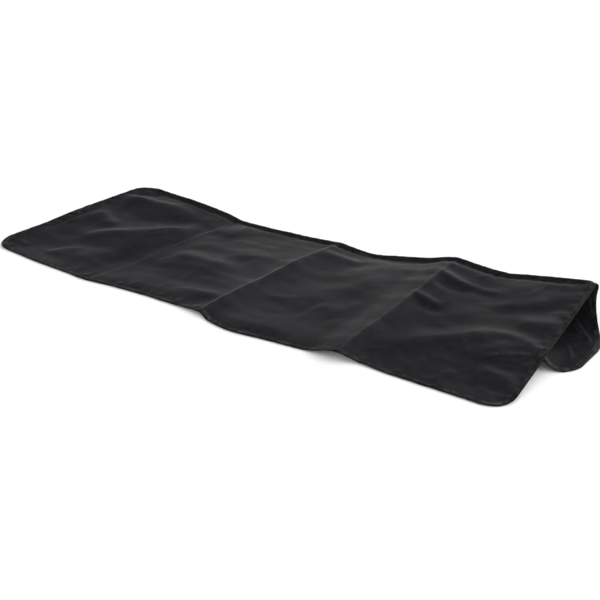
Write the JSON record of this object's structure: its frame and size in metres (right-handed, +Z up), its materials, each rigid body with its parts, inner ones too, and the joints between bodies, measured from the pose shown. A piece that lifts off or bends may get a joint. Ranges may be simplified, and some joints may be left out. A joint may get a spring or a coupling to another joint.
{
  "type": "keyboard dust cover",
  "caption": "Fabric dust cover for a stage piano or keyboard, lying spread with its back flap turned under it.",
  "frame": {"origin": "middle of the space that the lying cover takes up, on the surface it rests on", "axes": "+X along the cover's length towards its open, raised end, +Y towards the back edge where the flap is sewn on, +Z up"},
  "size_m": [1.4359, 0.5254, 0.078],
  "materials": {
    "cover_cloth": "matte coated nylon weave",
    "binding_tape": "matte woven tape"
  },
  "bodies": {
    "root": {"top_panel": "cover_cloth", "back_flap": "cover_cloth", "top_binding": "binding_tape", "flap_binding": "binding_tape"}
  },
  "joints": []
}
